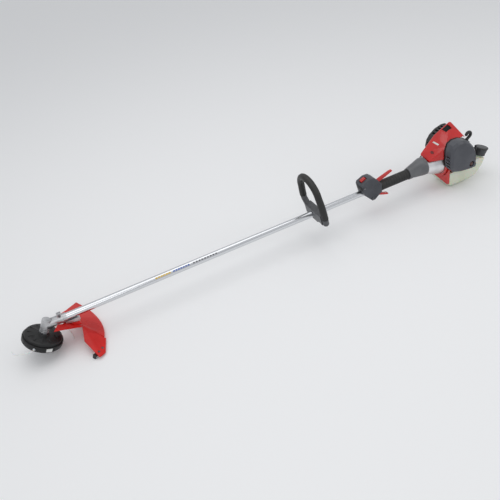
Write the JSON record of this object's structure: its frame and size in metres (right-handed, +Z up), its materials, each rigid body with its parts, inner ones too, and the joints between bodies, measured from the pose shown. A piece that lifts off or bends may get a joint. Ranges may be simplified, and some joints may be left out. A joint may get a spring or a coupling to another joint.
{
  "type": "string trimmer",
  "caption": "Petrol string trimmer lying on the ground: straight aluminium tube, line head with red shield, loop handle, throttle grip and a two-stroke engine with tank.",
  "frame": {"origin": "on the ground, under the middle of the fuel tank's flat bottom", "axes": "+X along the drive tube from the line head to the engine, +Z up, +Y the machine's right side"},
  "size_m": [1.8812, 0.2784, 0.2724],
  "materials": {
    "tube_aluminium": "satin",
    "cast_aluminium": "satin",
    "steel": "satin",
    "dark_steel": "satin",
    "red_plastic": "gloss",
    "grey_plastic": "satin",
    "black_plastic": "satin",
    "black_rubber": "matte",
    "tank_plastic": "satin",
    "nylon_line": "satin",
    "white_ceramic": "gloss",
    "brass": "satin",
    "filter_foam": "matte",
    "rope": "matte",
    "clear_rubber": "gloss",
    "fuel_hose": "satin",
    "dark_plastic": "satin"
  },
  "bodies": {
    "root": {"drive_tube": "tube_aluminium", "tube_bushings": "black_rubber", "gear_housing": "cast_aluminium", "gear_cap": "dark_steel", "bearings": "steel", "shield": "red_plastic", "shield_bracket": "cast_aluminium", "line_cutter": "dark_steel", "throttle_housing_left": "grey_plastic", "throttle_housing_right": "grey_plastic", "return_springs": "steel", "rear_grip": "black_rubber", "throttle_cable": "black_rubber", "coupling_cone": "grey_plastic", "clutch_housing": "cast_aluminium", "crankcase": "cast_aluminium", "engine_cylinder": "cast_aluminium", "piston_and_rod": "steel", "spark_plug": "white_ceramic", "ignition_coil": "black_plastic", "engine_shroud": "red_plastic", "muffler": "dark_steel", "muffler_guard": "black_plastic", "fuel_tank": "tank_plastic", "tank_foot": "red_plastic", "fuel_lines": "fuel_hose", "carburettor": "cast_aluminium", "filter_element": "filter_foam", "filter_cover": "grey_plastic", "starter_housing": "grey_plastic", "screws": "steel"},
    "loop_handle": {"loop_frame": "grey_plastic", "loop_grip": "black_rubber", "loop_screws": "steel"},
    "drive_line": {"drive_shaft": "steel", "pinion": "dark_steel", "clutch_drum": "dark_steel"},
    "line_head": {"driven_gear": "dark_steel", "output_shaft": "steel", "head_housing": "black_plastic", "head_cover": "black_plastic", "trimmer_lines": "nylon_line"},
    "bump_spool": {"spool": "black_plastic", "bump_knob": "black_plastic", "head_spring": "steel"},
    "crank": {"crankshaft": "steel", "flywheel": "cast_aluminium"},
    "shoe_a": {"clutch_shoe_a": "dark_steel"},
    "shoe_b": {"clutch_shoe_b": "dark_steel"},
    "starter_reel": {"starter_pulley": "black_plastic"},
    "starter_grip": {"starter_handle": "black_plastic", "starter_rope": "rope"},
    "throttle_trigger": {"trigger": "red_plastic"},
    "trigger_lock": {"lockout_lever": "red_plastic"},
    "ignition_switch": {"stop_switch": "red_plastic"},
    "choke": {"choke_lever": "black_plastic"},
    "throttle_valve": {"throttle_lever": "brass"},
    "primer": {"primer_bulb": "clear_rubber"},
    "tank_seal": {"cap_seal": "black_rubber"},
    "tank_cap": {"fuel_cap": "dark_plastic"}
  },
  "joints": [
    {"name": "loop_slide", "type": "slide", "parent": "root", "child": "loop_handle", "axis": [1, 0, 0], "range_m": [-0.1, 0.06]},
    {"name": "head_spin", "type": "hinge", "parent": "root", "child": "line_head", "pos_m": [-1.65, 0, 0.106], "axis": [0.5, 0, 0.866], "continuous": true},
    {"name": "drive_spin", "type": "hinge", "parent": "root", "child": "drive_line", "pos_m": [-1.65, 0, 0.106], "axis": [1, 0, 0], "continuous": true},
    {"name": "bump_press", "type": "slide", "parent": "line_head", "child": "bump_spool", "axis": [0.5, 0, 0.866], "range_m": [0, 0.006], "stiffness_N_per_m": 1200, "springref_m": -0.004, "deforming": ["head_spring"]},
    {"name": "crank_spin", "type": "hinge", "parent": "root", "child": "crank", "pos_m": [-0.05, 0, 0.106], "axis": [1, 0, 0], "continuous": true},
    {"name": "shoe_a_swing", "type": "hinge", "parent": "crank", "child": "shoe_a", "pos_m": [-0.112, 0.02, 0.112], "axis": [1, 0, 0], "range_deg": [-1.2, 0], "stiffness_Nm_per_rad": 40, "springref_deg": 1.15},
    {"name": "shoe_b_swing", "type": "hinge", "parent": "crank", "child": "shoe_b", "pos_m": [-0.112, -0.02, 0.1], "axis": [1, 0, 0], "range_deg": [-1.2, 0], "stiffness_Nm_per_rad": 40, "springref_deg": 1.15},
    {"name": "starter_pull", "type": "slide", "parent": "root", "child": "starter_grip", "axis": [0, 0, 1], "range_m": [0, 0.75], "stiffness_N_per_m": 8, "springref_m": -0.6, "deforming": ["starter_rope"]},
    {"name": "reel_turn", "type": "hinge", "parent": "root", "child": "starter_reel", "pos_m": [0.027, 0, 0.106], "axis": [1, 0, 0], "range_deg": [-1990, 10]},
    {"name": "trigger_squeeze", "type": "hinge", "parent": "root", "child": "throttle_trigger", "pos_m": [-0.394, 0, 0.086], "axis": [0, -1, 0], "range_deg": [0, 13], "stiffness_Nm_per_rad": 0.6, "springref_deg": -8.59},
    {"name": "throttle_turn", "type": "hinge", "parent": "root", "child": "throttle_valve", "pos_m": [-0.03, -0.056, 0.181], "axis": [0, 0, 1], "range_deg": [-65, 0]},
    {"name": "lock_press", "type": "hinge", "parent": "root", "child": "trigger_lock", "pos_m": [-0.38, 0, 0.13], "axis": [0, 1, 0], "range_deg": [0, 12], "stiffness_Nm_per_rad": 0.4, "springref_deg": -17.19},
    {"name": "switch_slide", "type": "slide", "parent": "root", "child": "ignition_switch", "axis": [0.9135, 0, 0.4067], "range_m": [-0.003, 0.003]},
    {"name": "choke_turn", "type": "hinge", "parent": "root", "child": "choke", "pos_m": [0.01, -0.074, 0.156], "axis": [1, 0, 0], "range_deg": [-45, 0]},
    {"name": "primer_press", "type": "slide", "parent": "root", "child": "primer", "axis": [0, 1, 0], "range_m": [0, 0.004], "stiffness_N_per_m": 800, "springref_m": -0.002},
    {"name": "cap_turn", "type": "hinge", "parent": "tank_seal", "child": "tank_cap", "pos_m": [0.082, -0.038, 0.088], "axis": [0.2924, 0, 0.9563], "range_deg": [0, 900]},
    {"name": "cap_lift", "type": "slide", "parent": "root", "child": "tank_seal", "axis": [0.2924, 0, 0.9563], "range_m": [0, 0.01]}
  ],
  "couplings": [
    {"joint": "head_spin", "follows": "drive_spin", "ratio": -0.73684},
    {"joint": "shoe_b_swing", "follows": "shoe_a_swing", "ratio": 1},
    {"joint": "reel_turn", "follows": "starter_pull", "rad_per_m": -45.455},
    {"joint": "throttle_turn", "follows": "trigger_squeeze", "ratio": -5},
    {"joint": "cap_turn", "follows": "cap_lift", "rad_per_m": 1570.8}
  ]
}
